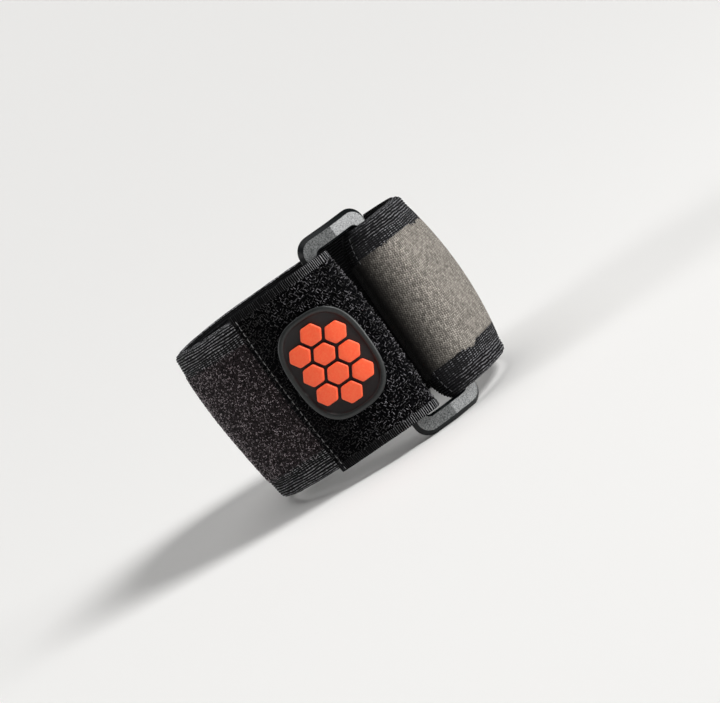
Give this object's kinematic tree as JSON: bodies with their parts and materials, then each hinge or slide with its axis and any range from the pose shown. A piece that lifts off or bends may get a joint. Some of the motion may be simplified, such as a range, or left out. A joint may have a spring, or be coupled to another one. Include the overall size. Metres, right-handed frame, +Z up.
{
  "type": "elbow support",
  "caption": "Forearm counterforce strap: padded knit panel, wrap band and elastic strap turned back through a bent loop buckle, fastened into a ring that rests on its side.",
  "frame": {"origin": "bottom centre of the part's box, on the surface that it rests on", "axes": "+Z up and roughly along the hollow towards the elbow end, which leans about 5.7 degrees to the back; -Y is the front with the strap and the badge; +X is the padded side"},
  "size_m": [0.0954, 0.103, 0.0751],
  "materials": {
    "black_pile": "short brushed pile, brownish black",
    "black_elastic": "elastic with coarse unbroken loops and ribbed selvedges",
    "grey_plastic": "moulded, spark-eroded grain",
    "grey_knit": "fine knit over foam, grey",
    "black_knit": "ribbed knit, black",
    "black_rubber": "moulded soft rubber, satin",
    "orange_rubber": "moulded soft rubber, satin"
  },
  "bodies": {
    "root": {"wrap_band": "black_pile", "strap": "black_elastic", "buckle": "grey_plastic", "pad_panel": "grey_knit", "pad_rib_elbow": "black_knit", "pad_rib_wrist": "black_knit", "badge_base": "black_rubber", "badge_tile_01": "orange_rubber", "badge_tile_02": "orange_rubber", "badge_tile_03": "orange_rubber", "badge_tile_04": "orange_rubber", "badge_tile_05": "orange_rubber", "badge_tile_06": "orange_rubber", "badge_tile_07": "orange_rubber", "badge_tile_08": "orange_rubber", "badge_tile_09": "orange_rubber", "badge_tile_10": "orange_rubber"}
  },
  "joints": []
}
